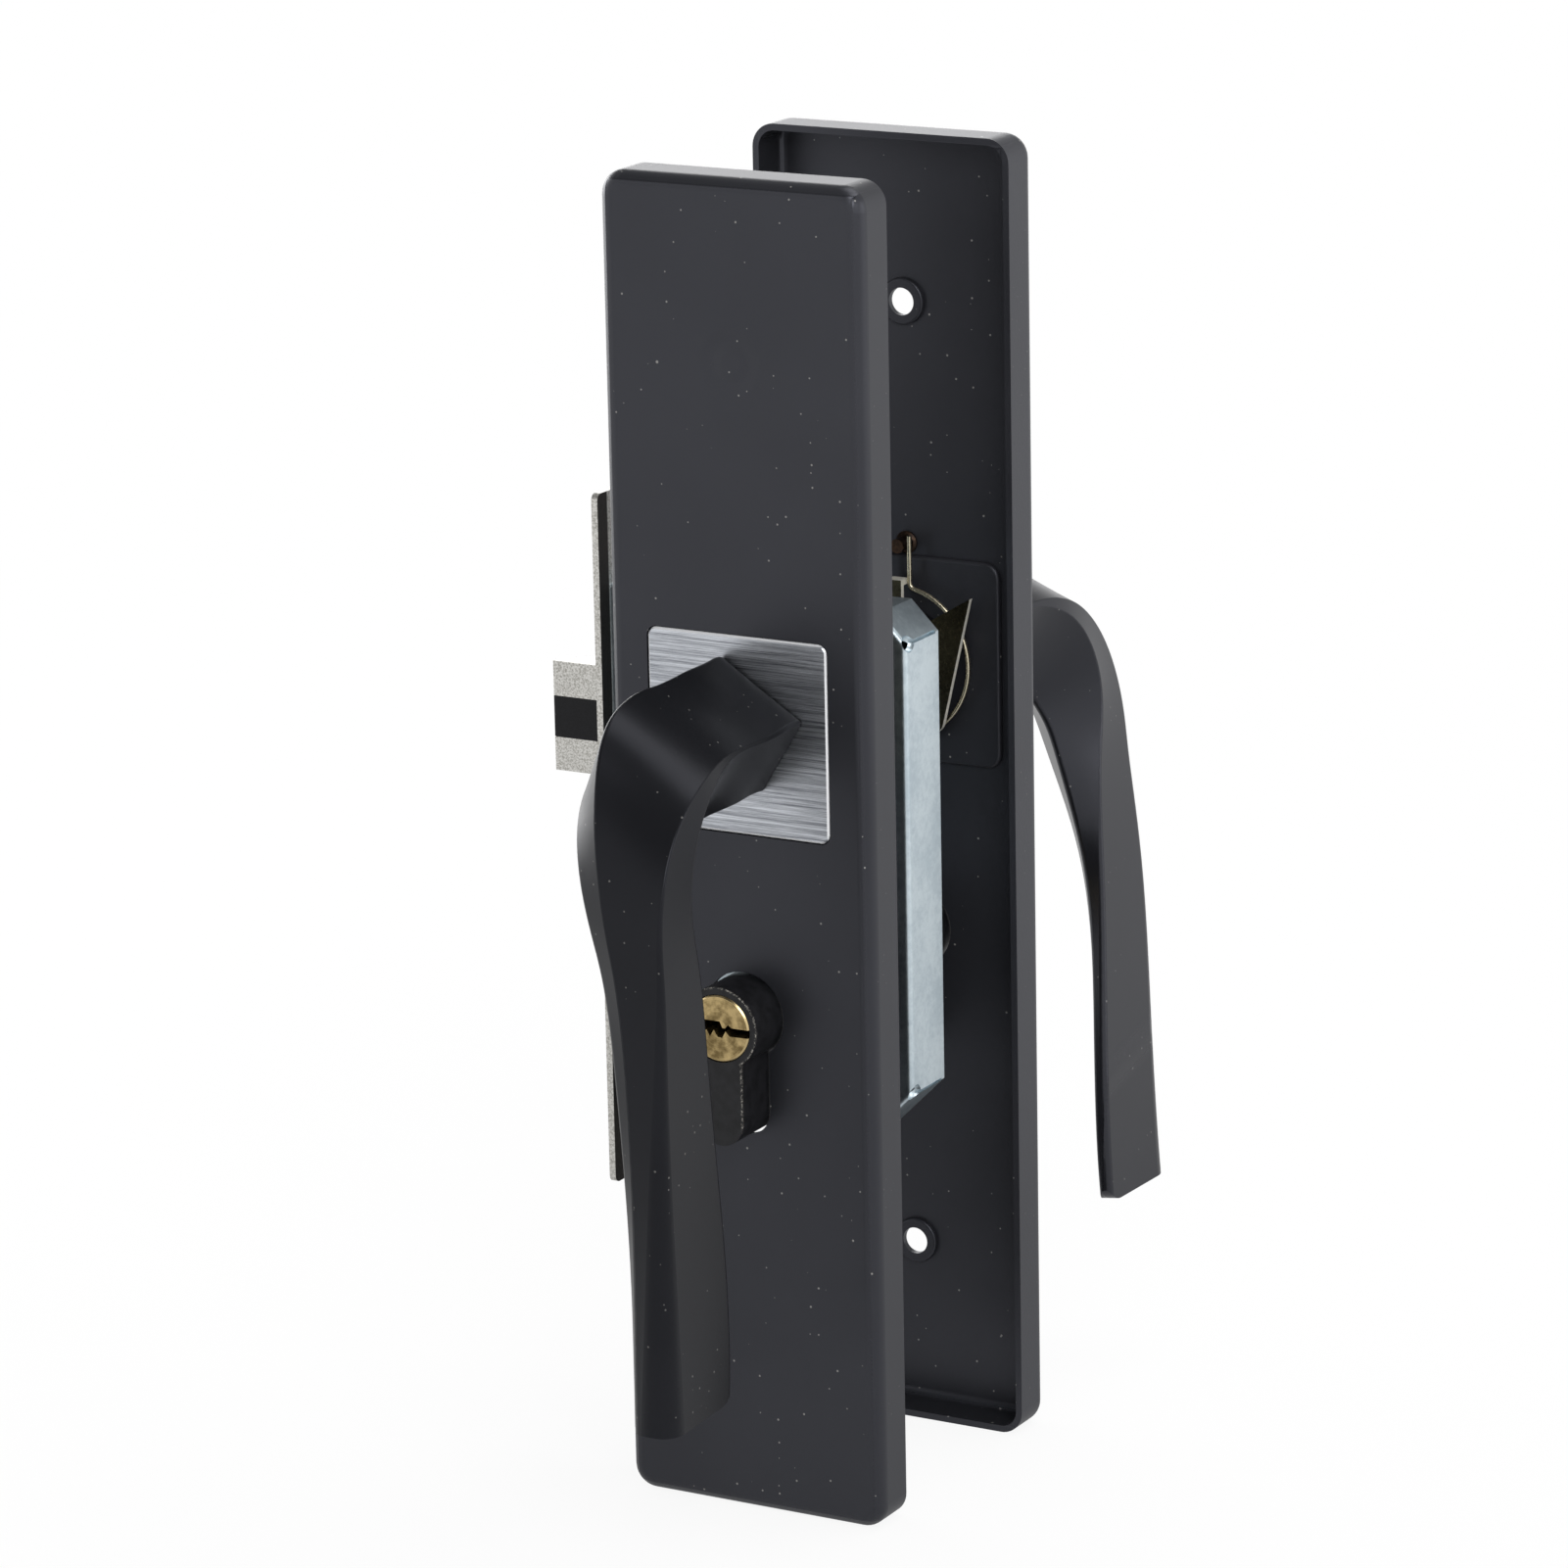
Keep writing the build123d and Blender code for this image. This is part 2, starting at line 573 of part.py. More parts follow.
def post_places():
    """Places of the case posts: near the corners, and one between latch and deadbolt."""
    back = CASE_BACK - POST_BACK_INSET
    front = FOREND_BACK + POST_FRONT_INSET
    between = (LATCH_TOP - LATCH_HEIGHT + BOLT_TAIL_TOP) / 2
    heights = (
        CASE_TOP - POST_TOP_INSET, between, CASE_BOTTOM + POST_BACK_RISE, CASE_BOTTOM + POST_FRONT_RISE
    )
    return [Pos(across, height) for across, height in zip((back, front, back, front), heights)]


def case_holes():
    """Holes through both sides of the case for the follower and the cylinder."""
    return Circle(FOLLOWER_JOURNAL + FOLLOWER_FIT) + profile_outline(CASE_PROFILE_GAP)


def latch_opening():
    """Opening for the latch, drawn in Y and Z."""
    width = 2 * (LATCH_HALF + RUNNING_GAP)
    return Pos(0, LATCH_MIDDLE) * Rectangle(width, LATCH_HEIGHT + 2 * RUNNING_GAP)


def bolt_opening():
    """Opening for the deadbolt, drawn in Y and Z."""
    width = 2 * (BOLT_HALF + RUNNING_GAP)
    return Pos(0, BOLT_MIDDLE) * Rectangle(width, BOLT_HEIGHT + 2 * RUNNING_GAP)


def forend_openings():
    """Everything that passes through the forend and the case wall behind it."""
    screw = Pos(0, CYLINDER_Z - CYLINDER_SCREW_DROP) * Circle(CYLINDER_SCREW_RADIUS + FIT)
    rivets = [Pos(0, height) * Circle(RIVET_RADIUS + FIT) for height in RIVETS_Z]
    return [latch_opening(), bolt_opening(), screw, *rivets]


def corner_reliefs():
    """Relief holes and slits where the folded rim turns at the rear corners."""
    corners = (
        (CASE_BACK, CASE_TOP - CASE_TOP_CHAMFER),
        (CASE_BACK, CASE_BOTTOM + CASE_BOTTOM_CHAMFER),
    )
    cuts = []
    for across, height in corners:
        start = -CASE_HALF + CASE_FOLD + RELIEF_RADIUS
        cuts.append(Pos(across, start, height) * Sphere(CASE_WALL + RELIEF_RADIUS))
        slit = Pos(across, height) * Rectangle(2 * CASE_WALL, RELIEF_SLIT)
        cuts.append(along_y(slit, start, CASE_INSIDE))
    return cuts


def case_tray():
    """Folded tray: the front side with its rim, and a tab that holds the latch spring."""
    tray = along_y(case_outline(), -CASE_HALF, CASE_INSIDE)
    fold = tray.faces().sort_by(Axis.Y)[0].edges().filter_by(lambda edge: edge.center().X > FOREND_BACK)
    tray = fillet(fold, CASE_FOLD)
    hollow = offset(case_outline(), amount=-CASE_WALL, kind=Kind.INTERSECTION)
    tray -= along_y(hollow, -CASE_INSIDE, CASE_HALF)
    tray -= along_y(case_holes(), -CASE_HALF - CASE_WALL, -CASE_INSIDE)
    for opening in forend_openings():
        tray -= along_x(opening, FOREND_BACK, FOREND_BACK + CASE_WALL)
    for cut in corner_reliefs():
        tray -= cut
    tab = Pos(SPRING_TAB_X + CASE_WALL / 2, LATCH_SPRING_Z) * Rectangle(CASE_WALL, 2 * SPRING_TAB_HALF)
    return tray + along_y(tab, -CASE_INSIDE, SPRING_TAB_HALF)


def case_cover():
    """Flat rear side of the case with its screw holes."""
    cover = along_y(case_outline(), CASE_INSIDE, CASE_HALF)
    cover -= along_y(case_holes(), CASE_INSIDE, CASE_HALF)
    for place in post_places():
        cover -= along_y(place * Circle(CASE_SCREW_RADIUS + FIT), CASE_INSIDE, CASE_HALF)
    return cover


def case_posts():
    """Spacer posts between the two sides of the case, bored for the cover screws."""
    posts = []
    for place in post_places():
        post = along_y(place * Circle(CASE_POST_RADIUS), -CASE_INSIDE, CASE_INSIDE)
        bore = place * Circle(CASE_SCREW_RADIUS + FIT)
        posts.append(post - along_y(bore, CASE_INSIDE - CASE_SCREW_LENGTH, CASE_INSIDE))
    return posts


def case_screws():
    """Screws with chamfered heads through the cover into the posts."""
    screws = []
    for place in post_places():
        head = along_y(place * Circle(CASE_SCREW_HEAD), CASE_HALF, CASE_HALF + CASE_SCREW_HEAD_HEIGHT)
        head = chamfer(head.faces().sort_by(Axis.Y)[-1].edges(), CASE_SCREW_HEAD_HEIGHT / 2)
        shank = along_y(place * Circle(CASE_SCREW_RADIUS), CASE_INSIDE - CASE_SCREW_LENGTH + FIT, CASE_HALF)
        screws.append(head + shank)
    return screws


def countersink(height, radius, sink):
    """Countersunk hole through the forend, wide end outside."""
    depth = sink - radius
    cone = Cone(sink, radius, depth, align=(Align.CENTER, Align.CENTER, Align.MIN))
    placed = Pos(FOREND_FACE, 0, height) * Rot(0, 90, 0) * cone
    return placed + along_x(Pos(0, height) * Circle(radius), FOREND_FACE, FOREND_BACK)


def forend():
    """Face plate with openings for latch, deadbolt and screws."""
    outline = RectangleRounded(FOREND_WIDTH, FOREND_LENGTH, FOREND_CORNER)
    plate = along_x(Pos(0, FOREND_MIDDLE) * outline, FOREND_FACE, FOREND_BACK)
    for opening in forend_openings():
        plate -= along_x(opening, FOREND_FACE, FOREND_BACK)
    for height in (FOREND_TOP - FOREND_SCREW_INSET, FOREND_TOP - FOREND_LENGTH + FOREND_SCREW_INSET):
        plate -= countersink(height, FOREND_SCREW_RADIUS, FOREND_SCREW_SINK)
    screw_z = CYLINDER_Z - CYLINDER_SCREW_DROP
    plate -= countersink(screw_z, CYLINDER_SCREW_RADIUS + FIT, CYLINDER_SCREW_HEAD + FIT)
    return plate


def forend_rivets():
    """Rivets that hold the forend to the case, heads inside."""
    rivets = []
    for height in RIVETS_Z:
        place = Pos(0, height)
        wall_end = FOREND_BACK + CASE_WALL
        rivet = along_x(place * Circle(RIVET_RADIUS), FOREND_FACE, wall_end)
        head = along_x(place * Circle(RIVET_HEAD), wall_end, wall_end + RIVET_HEAD_HEIGHT)
        head = chamfer(head.faces().sort_by(Axis.X)[-1].edges(), RIVET_HEAD_HEIGHT / 2)
        rivets.append(rivet + head)
    return rivets


def latch_plan(end):
    """Latch seen from above, bevelled on the rear side, from its nose back to end."""
    bevel_end = LATCH_END + LATCH_BEVEL_LENGTH
    return polygon(
        (LATCH_END, -LATCH_HALF), (LATCH_END, LATCH_NOSE - LATCH_HALF), (bevel_end, LATCH_HALF),
        (end, LATCH_HALF), (end, -LATCH_HALF),
    )


def latch_head():
    """Cast latch with a seat for the insert, the tail and the spring."""
    head = along_z(latch_plan(LATCH_SHANK_END), LATCH_TOP - LATCH_HEIGHT, LATCH_TOP)
    nose = head.edges().filter_by(Axis.Z).sort_by(Axis.X)[:2]
    head = fillet(nose, LATCH_EDGE_ROUND)
    band = latch_plan(INSERT_END + INSERT_GAP)
    head -= along_z(band, INSERT_TOP - INSERT_HEIGHT - INSERT_GAP, INSERT_TOP + INSERT_GAP)
    seat_front = TAIL_FRONT - RUNNING_GAP
    for side in (-1, 1):
        middle = side * (TAIL_INNER - FIT + LATCH_HALF) / 2
        seat = Pos((seat_front + LATCH_SHANK_END) / 2, middle)
        seat *= Rectangle(LATCH_SHANK_END - seat_front, LATCH_HALF - TAIL_INNER + FIT)
        head -= along_z(seat, TAIL_SEAT, LATCH_TOP)
    rivet = Pos(LATCH_RIVET_X, LATCH_RIVET_Z) * Circle(LATCH_RIVET_RADIUS + FIT)
    head -= along_y(rivet, -LATCH_HALF, LATCH_HALF)
    bore = Pos(0, LATCH_SPRING_Z) * Circle(LATCH_SPRING_BORE)
    return head - along_x(bore, LATCH_SPRING_SEAT, LATCH_SHANK_END)


def latch_insert():
    """Black nylon band through the middle of the latch."""
    band = along_z(latch_plan(INSERT_END), INSERT_TOP - INSERT_HEIGHT, INSERT_TOP)
    nose = band.edges().filter_by(Axis.Z).sort_by(Axis.X)[:2]
    return fillet(nose, LATCH_EDGE_ROUND)


def latch_tail():
    """Folded stirrup: two cheeks on the latch, joined behind the follower arm."""
    reach = LATCH_TRAVEL + FOLLOWER_RADIUS
    tail_back = TAIL_FACE + TAIL_SHEET
    hook = reach + RUNNING_GAP
    profile = polygon(
        (TAIL_FRONT, TAIL_SEAT + FIT), (-hook - 2, TAIL_SEAT + FIT), (-hook - 2, TAIL_LOW / 3),
        (-hook + 4, TAIL_LOW), (tail_back, TAIL_LOW), (tail_back, TAIL_HIGH),
        (-hook - 4, TAIL_HIGH), (TAIL_FRONT, LATCH_TOP),
    )
    outer = TAIL_INNER + TAIL_SHEET
    tail = along_y(profile, -outer, -TAIL_INNER) + along_y(profile, TAIL_INNER, outer)
    web = polygon(
        (TAIL_FACE, TAIL_LOW), (tail_back, TAIL_LOW), (tail_back, TAIL_HIGH), (TAIL_FACE, TAIL_HIGH)
    )
    tail += along_y(web, -outer, outer)
    folds = tail.edges().filter_by(Axis.Z).sort_by(Axis.X)[-2:]
    tail = fillet(folds, TAIL_SHEET / 2)
    rivet = Pos(LATCH_RIVET_X, LATCH_RIVET_Z) * Circle(LATCH_RIVET_RADIUS + FIT)
    return tail - along_y(rivet, -outer, outer)


def latch_rivet():
    """Rivet through the tail cheeks and the latch shank."""
    outer = TAIL_INNER + TAIL_SHEET
    return along_y(Pos(LATCH_RIVET_X, LATCH_RIVET_Z) * Circle(LATCH_RIVET_RADIUS), -outer, outer)


def latch_spring():
    """Coil spring between the latch and the tab of the case."""
    start = LATCH_SPRING_SEAT + LATCH_SPRING_WIRE / 2 + FIT
    length = SPRING_TAB_X - LATCH_SPRING_WIRE / 2 - FIT - start
    coil = Helix(length / LATCH_SPRING_TURNS, length, LATCH_SPRING_RADIUS)
    section = Plane(coil @ 0, z_dir=coil % 0) * Circle(LATCH_SPRING_WIRE / 2)
    spring = sweep(section, path=coil, is_frenet=True)
    return Pos(start, 0, LATCH_SPRING_Z) * Rot(0, 90, 0) * spring


def follower():
    """Hub on the spindle with an arm that draws the latch tail."""
    turn = radians(LEVER_TURN / 2)
    nose = (-ARM_REACH * sin(turn), ARM_REACH * cos(turn))
    arm = Pos(*nose) * Circle(ARM_NOSE)
    stem = Rot(0, 0, degrees(turn)) * (Pos(0, ARM_REACH / 2) * Rectangle(ARM_NECK, ARM_REACH))
    hub = along_y(Circle(FOLLOWER_RADIUS), -FOLLOWER_HALF, FOLLOWER_HALF)
    hub += along_y(Circle(FOLLOWER_JOURNAL), -CASE_HALF, CASE_HALF)
    hub += along_y(arm + stem, -ARM_HALF, ARM_HALF)
    socket = Rectangle(SPINDLE_SIZE + 2 * FIT, SPINDLE_SIZE + 2 * FIT)
    return hub - along_y(socket, -CASE_HALF, CASE_HALF)


def lug_nose():
    """Centre of the cam lug's round nose at rest."""
    turn = radians(KEY_LUG_REST)
    return KEY_LUG_REACH * sin(turn), CYLINDER_Z + KEY_LUG_REACH * cos(turn)


def bolt_tail_outline():
    """Deadbolt tail from the side: tongue into the head, cam notch below and guide slot above."""
    plate = polygon(
        (BOLT_TAIL_FRONT, BOLT_TAIL_TOP), (BOLT_TAIL_BACK, BOLT_TAIL_TOP), (BOLT_TAIL_BACK, BOLT_TAIL_LOW),
        (BOLT_TONGUE_BACK, BOLT_TAIL_LOW), (BOLT_TONGUE_BACK, BOLT_TONGUE_LOW),
        (BOLT_TONGUE_FRONT, BOLT_TONGUE_LOW), (BOLT_TONGUE_FRONT, BOLT_TOP - FIT),
        (BOLT_TAIL_FRONT, BOLT_TOP - FIT),
    )
    nose_x = lug_nose()[0]
    notch_top = CYLINDER_Z + KEY_LUG_REACH + KEY_LUG_NOSE + NOTCH_TOP_GAP
    notch_half = KEY_LUG_NOSE + NOTCH_GAP
    mouth_half = notch_half + NOTCH_FLARE
    notch = polygon(
        (nose_x - notch_half, notch_top), (nose_x + notch_half, notch_top),
        (nose_x + mouth_half, BOLT_TAIL_LOW), (nose_x - mouth_half, BOLT_TAIL_LOW),
    )
    slot_half = GUIDE_RADIUS + RUNNING_GAP
    slot = Pos(GUIDE_X + BOLT_TRAVEL / 2, GUIDE_Z) * SlotCenterToCenter(BOLT_TRAVEL, 2 * slot_half)
    return plate - notch - slot


def bolt_rivet_places():
    """Places of the rivets that join the deadbolt's head and tail."""
    return [Pos(BOLT_RIVET_X, height) for height in BOLT_RIVETS_Z]


def deadbolt_head():
    """Deadbolt block, flush with the forend, slotted for its tail."""
    block = Pos(0, BOLT_MIDDLE) * Rectangle(2 * BOLT_HALF, BOLT_HEIGHT)
    head = along_x(block, FOREND_FACE, BOLT_END)
    head = fillet(head.faces().sort_by(Axis.X)[0].edges(), BOLT_EDGE_ROUND)
    slot = polygon(
        (BOLT_TONGUE_FRONT - FIT, BOLT_TOP), (BOLT_END, BOLT_TOP), (BOLT_END, BOLT_TONGUE_LOW - FIT),
        (BOLT_TONGUE_FRONT - FIT, BOLT_TONGUE_LOW - FIT),
    )
    head -= along_y(slot, -BOLT_TAIL_HALF - FIT, BOLT_TAIL_HALF + FIT)
    for place in bolt_rivet_places():
        head -= along_y(place * Circle(BOLT_RIVET_RADIUS + FIT), -BOLT_HALF, BOLT_HALF)
    return head


def deadbolt_tail():
    """Flat tail plate of the deadbolt."""
    tail = along_y(bolt_tail_outline(), -BOLT_TAIL_HALF, BOLT_TAIL_HALF)
    for place in bolt_rivet_places():
        tail -= along_y(place * Circle(BOLT_RIVET_RADIUS + FIT), -BOLT_HALF, BOLT_HALF)
    return tail


def deadbolt_rivets():
    """Rivets through the deadbolt's head and tail."""
    shank = Circle(BOLT_RIVET_RADIUS)
    return [along_y(place * shank, -BOLT_HALF, BOLT_HALF) for place in bolt_rivet_places()]


def deadbolt_guide_pin():
    """Fixed pin across the case in the slot of the deadbolt's tail."""
    return along_y(Pos(GUIDE_X, GUIDE_Z) * Circle(GUIDE_RADIUS), -CASE_INSIDE, CASE_INSIDE)


def cylinder_body():
    """Profile body bored for both plugs, open in the middle for the cam."""
    body = along_y(profile_outline(0), -CYLINDER_END, CYLINDER_END)
    body -= along_y(Pos(0, CYLINDER_Z) * Circle(PLUG_RADIUS + FIT), -CYLINDER_END, CYLINDER_END)
    opening = Pos(0, CYLINDER_Z) * Rectangle(2 * PROFILE_HEIGHT, 2 * BRIDGE_DROP)
    body -= along_y(opening, -CAM_GAP / 2, CAM_GAP / 2)
    screw = Pos(0, CYLINDER_Z - CYLINDER_SCREW_DROP) * Circle(CYLINDER_SCREW_RADIUS + FIT)
    return body - along_x(screw, -PROFILE_RADIUS, PROFILE_RADIUS)


def keyway_outline():
    """Stepped keyway with teeth along its lower edge, open at the plug's right."""
    points = [
        (-5.5, 1.6), (0.3, 1.6), (0.9, 0.3), (1.5, 0.3), (2.2, 1.1), (3.0, 0.5), (PLUG_RADIUS, 0.5),
        (PLUG_RADIUS, -1.2), (2.5, -1.3), (1.6, -0.3), (0.8, -1.8), (-0.2, -1.7), (-1.1, -0.3), (-2.0, -1.8),
        (-2.8, -0.4), (-3.6, -1.6), (-5.5, -1.6),
    ]
    return polygon(*[(across, CYLINDER_Z + up) for across, up in points])


def plug():
    """Front plug with its keyway, and a journal that carries the cam."""
    front = CYLINDER_END + PLUG_PROUD
    place = Pos(0, CYLINDER_Z)
    barrel = front_slab(place * Circle(PLUG_RADIUS), CAM_GAP / 2, front)
    barrel = chamfer(barrel.faces().sort_by(Axis.Y)[0].edges(), PLUG_CHAMFER)
    barrel += front_slab(place * Circle(JOURNAL_RADIUS), RUNNING_GAP, CAM_GAP / 2)
    clip_outer = CAM_GAP / 2 - CLIP_SETBACK
    groove = place * (Circle(JOURNAL_RADIUS + FIT) - Circle(JOURNAL_RADIUS - CLIP_GROOVE))
    barrel -= front_slab(groove, clip_outer - CLIP_THICKNESS - FIT, clip_outer + FIT)
    return barrel - front_slab(keyway_outline(), front - KEYWAY_DEPTH, front)


def plug_clip():
    """Open clip that keeps the plug in the body."""
    clip_outer = CAM_GAP / 2 - CLIP_SETBACK
    ring = Circle(CLIP_RADIUS) - Circle(JOURNAL_RADIUS - CLIP_GROOVE + FIT)
    mouth = Pos(0, -CLIP_RADIUS / 2) * Rectangle(JOURNAL_RADIUS, CLIP_RADIUS)
    return front_slab(Pos(0, CYLINDER_Z) * (ring - mouth), clip_outer - CLIP_THICKNESS, clip_outer)


def cylinder_cam():
    """Ring on the plug journals with a lug that throws the deadbolt."""
    lug = Pos(0, KEY_LUG_REACH / 2) * Rectangle(2 * KEY_LUG_NOSE, KEY_LUG_REACH)
    lug += Pos(0, KEY_LUG_REACH) * Circle(KEY_LUG_NOSE)
    outline = Circle(KEY_CAM_RADIUS) + Rot(0, 0, -KEY_LUG_REST) * lug - Circle(JOURNAL_RADIUS + FIT)
    return along_y(Pos(0, CYLINDER_Z) * outline, -KEY_CAM_WIDTH / 2, KEY_CAM_WIDTH / 2)


def cylinder_screw():
    """Long countersunk screw through the forend into the cylinder's bridge."""
    height = CYLINDER_Z - CYLINDER_SCREW_DROP
    depth = CYLINDER_SCREW_HEAD - CYLINDER_SCREW_RADIUS
    cone = Cone(
        CYLINDER_SCREW_HEAD, CYLINDER_SCREW_RADIUS, depth, align=(Align.CENTER, Align.CENTER, Align.MIN)
    )
    head = Pos(FOREND_FACE, 0, height) * Rot(0, 90, 0) * cone
    shank = Pos(0, height) * Circle(CYLINDER_SCREW_RADIUS)
    return head + along_x(shank, FOREND_FACE, CYLINDER_SCREW_END)


def node(*pieces):
    """One compound of all separate solids of a node."""
    solids = [solid for piece in pieces for solid in piece.solids()]
    return Compound(children=solids) if len(solids) > 1 else solids[0]


def both_sides(name, piece):
    """The front piece and its mirrored rear twin under their own names."""
    return {f"front_{name}": piece, f"rear_{name}": at_rear(piece)}


def all_nodes():
    """Every node of the lockset by name."""
    grub = grub_screw()
    nodes = {
        "front_plate": long_plate(),
        "rear_plate": rear_plate(),
        "front_fixing_posts": node(*fixing_posts()),
        "front_lever": lever(0),
        "rear_lever": at_rear(lever(REAR_LEVER_HANG)),
        "lever_grub_screws": node(grub, at_rear(grub)),
        "spindle": spindle(),
        "case_tray": case_tray(),
        "case_cover": case_cover(),
        "case_posts": node(*case_posts()),
        "case_cover_screws": node(*case_screws()),
        "forend": forend(),
        "forend_rivets": node(*forend_rivets()),
        "follower": follower(),
        "latch_head": latch_head(),
        "latch_insert": latch_insert(),
        "latch_tail": latch_tail(),
        "latch_rivet": latch_rivet(),
        "latch_spring": latch_spring(),
        "deadbolt_head": deadbolt_head(),
        "deadbolt_tail": deadbolt_tail(),
        "deadbolt_rivets": node(*deadbolt_rivets()),
        "deadbolt_guide_pin": deadbolt_guide_pin(),
        "cylinder_body": cylinder_body(),
        "cylinder_cam": cylinder_cam(),
        "cylinder_screw": cylinder_screw(),
    }
    nodes |= both_sides("inlay", inlay())
    nodes |= both_sides("lever_bush", lever_bush())
    nodes |= both_sides("cam_plate", cam_plate())
    nodes |= both_sides("circlip", circlip())
    nodes |= both_sides("return_spring", return_spring())
    nodes |= both_sides("spring_post", spring_post())
    nodes |= both_sides("plug", plug())
    nodes |= both_sides("plug_clip", plug_clip())
    return nodes


os.makedirs("parts", exist_ok=True)
for name, piece in all_nodes().items():
    export_step(piece, f"parts/{name}.step")
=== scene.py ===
"""Looks of the interior door handle lockset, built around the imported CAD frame."""

import json

import bpy
from mathutils import Matrix, Vector


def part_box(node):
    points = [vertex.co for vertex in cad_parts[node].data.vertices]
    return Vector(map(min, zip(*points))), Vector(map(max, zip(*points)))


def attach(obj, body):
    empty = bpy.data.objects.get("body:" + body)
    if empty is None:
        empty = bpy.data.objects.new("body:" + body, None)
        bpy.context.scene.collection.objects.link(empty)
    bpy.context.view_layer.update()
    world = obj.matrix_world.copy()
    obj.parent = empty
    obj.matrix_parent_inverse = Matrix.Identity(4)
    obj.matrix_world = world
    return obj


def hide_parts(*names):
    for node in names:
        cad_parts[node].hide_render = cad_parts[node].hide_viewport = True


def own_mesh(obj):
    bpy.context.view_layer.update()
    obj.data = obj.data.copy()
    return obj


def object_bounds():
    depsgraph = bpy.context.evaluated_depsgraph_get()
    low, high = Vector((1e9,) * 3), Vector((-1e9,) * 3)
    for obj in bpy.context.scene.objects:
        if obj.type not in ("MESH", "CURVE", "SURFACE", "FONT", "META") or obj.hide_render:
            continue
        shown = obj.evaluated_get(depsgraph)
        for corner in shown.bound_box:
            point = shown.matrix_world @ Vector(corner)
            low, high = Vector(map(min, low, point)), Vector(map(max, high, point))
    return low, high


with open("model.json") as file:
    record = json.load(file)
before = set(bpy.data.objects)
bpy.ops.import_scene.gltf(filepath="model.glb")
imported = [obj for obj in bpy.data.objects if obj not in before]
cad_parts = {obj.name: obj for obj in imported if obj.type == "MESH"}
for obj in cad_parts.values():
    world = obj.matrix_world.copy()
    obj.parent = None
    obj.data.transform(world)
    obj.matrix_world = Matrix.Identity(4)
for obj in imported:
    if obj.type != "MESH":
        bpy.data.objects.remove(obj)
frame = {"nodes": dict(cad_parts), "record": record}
cad_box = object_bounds()
nodes = frame["nodes"]

MILLIMETRE = 0.001
SAME_POINT = 0.000001

# Camera of the photograph: place in metres, the picture's right and down, lens and sensor in millimetres
CAMERA_PLACE = Vector((0.6257, -1.1217, 0.3237))
CAMERA_RIGHT = Vector((0.8724, 0.4888, -0.0195))
CAMERA_DOWN = Vector((0.1094, -0.2340, -0.9660))
CAMERA_LENS = 149.9
CAMERA_SENSOR = 36.0

# Soft square lights: place and side in metres, power in watts
LIGHTS = {
    "key": ((1.0, -1.2, 1.0), 0.9, 14),
    "fill": ((1.5, 0.3, 0.4), 1.0, 6),
    "top": ((0.25, 0.4, 1.35), 1.0, 9),
    "left": ((-1.3, 0.4, 0.1), 1.2, 15),
    "back": ((-0.86, 1.5, 0.46), 0.8, 5),
}
LIGHT_AIM = Vector((0, 0, -0.02))

# Floor: side in metres, ends in millimetres of its fade from painted shade near the object to white,
# share of paint that keeps the shadow
FLOOR_SIDE = 12.0
FLOOR_FADE = (50, 900)
FLOOR_SHADOW = 0.1
FLOOR_PAINT = (0.8, 0.8, 0.8, 1)
# Painted shade: what polished faces mirror of the floor near the object
FLOOR_PAINTED_SHADE = (0.65, 0.65, 0.65, 1)

# Surroundings: plain level of light, and the darker ceiling that polished faces mirror
WHITE = (1, 1, 1, 1)
ROOM_LEVEL = 0.5
CEILING_RISE = (0.22, 0.65)
CEILING_DROP = 0.8

# Levers' ridge between neck and shoulder, in metres
RIDGE_OUT = 0.053
RIDGE_REACH = 0.0008
RIDGE_RISE = 0.0014
RIDGE_FADE = 0.012

# Black coat: lengths in millimetres, heights as multiples of the coat's bump distance
COAT_TINT = (1.0, 1.03, 1.22)
COAT_GLOSS = (0.85, 0.87, 1, 1)
COAT_CLOUD = 0.78
DUST = (0.36, 0.35, 0.33, 1)
BEAD_INSET = 1.75
BEAD_HALF = 0.5
BEAD_RISE = 40.0
SINK_INNER = (2.0, 4.0)
SINK_OUTER = (4.2, 7.0)
SINK_DEPTH = 40.0

# Brushed inlay, whose scratches are stretched sideways
HAIR_STRETCH = (0.010, 1, 1)
BAND_STRETCH = (0.004, 1, 1)
BRUSHED_DARK = (0.15, 0.158, 0.18, 1)
BRUSHED_BRIGHT = (0.76, 0.79, 0.84, 1)
# Painted highlight: near-white colour along the inlay's chamfered edge
INLAY_EDGE_PAINTED_HIGHLIGHT = (0.86, 0.87, 0.89, 1)

# Sand-blasted nickel, and the painted shade on the forend's back beside the case
SAND_DARK = (0.34, 0.33, 0.30, 1)
SAND_BRIGHT = (0.70, 0.69, 0.66, 1)
FOREND_BACK_PAINTED_SHADE = (0.035, 0.032, 0.030, 1)
BACK_PAINTED_SHADE_START = 0.1
BACK_PAINTED_SHADE_FULL = 0.4

# Nylon, black cylinder and brass plugs, lengths in millimetres
NYLON_DARK = (0.004, 0.004, 0.005, 1)
NYLON_LIGHT = (0.008, 0.008, 0.010, 1)
CYLINDER_DARK = (0.006, 0.006, 0.007, 1)
CYLINDER_LIGHT = (0.012, 0.012, 0.014, 1)
CYLINDER_WORN = (0.40, 0.38, 0.34, 1)
STEM_HALF = 5.0
STEM_BLEND = 0.3
BRASS_DARK = (0.17, 0.12, 0.05, 1)
BRASS_BRIGHT = (0.56, 0.42, 0.20, 1)
BRASS_RIM = (0.62, 0.48, 0.25, 1)

# Range that holds most values of a noise
NOISE_SPAN = (0.3, 0.7)

# Numbers of a Mix node's colour sockets, because their names repeat
MIX_FACTOR = 0
MIX_BELOW = 6
MIX_ABOVE = 7
MIX_RESULT = 2


